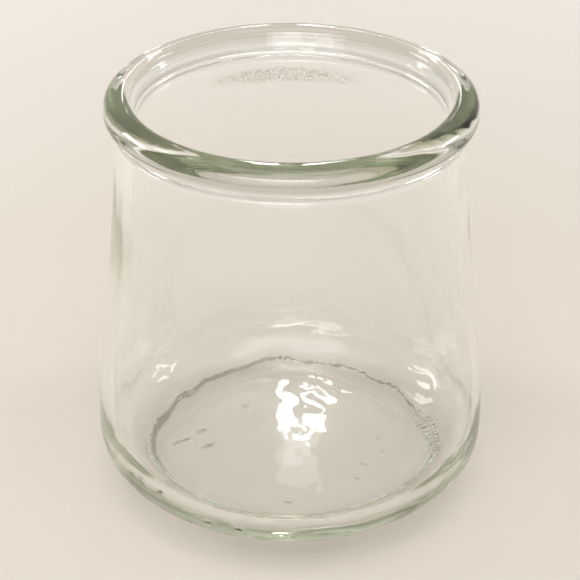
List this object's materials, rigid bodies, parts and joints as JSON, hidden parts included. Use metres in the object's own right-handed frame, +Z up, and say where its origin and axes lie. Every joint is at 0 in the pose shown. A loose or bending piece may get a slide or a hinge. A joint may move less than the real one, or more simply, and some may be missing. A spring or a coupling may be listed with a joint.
{
  "type": "glass yogurt jar",
  "caption": "Small open jar of clear pressed glass with a beaded rim, a slightly narrower neck, a wide rounded belly and a hollowed underside.",
  "frame": {"origin": "centre of the underside, on the plane that the jar rests on", "axes": "+Z up along the jar's axis, out of the mouth; +X and +Y are any two upright directions at right angles, because the jar is round"},
  "size_m": [0.0692, 0.0692, 0.074],
  "materials": {
    "glass": "clear, glossy, faintly green"
  },
  "bodies": {
    "root": {"jar": "glass"}
  },
  "joints": []
}
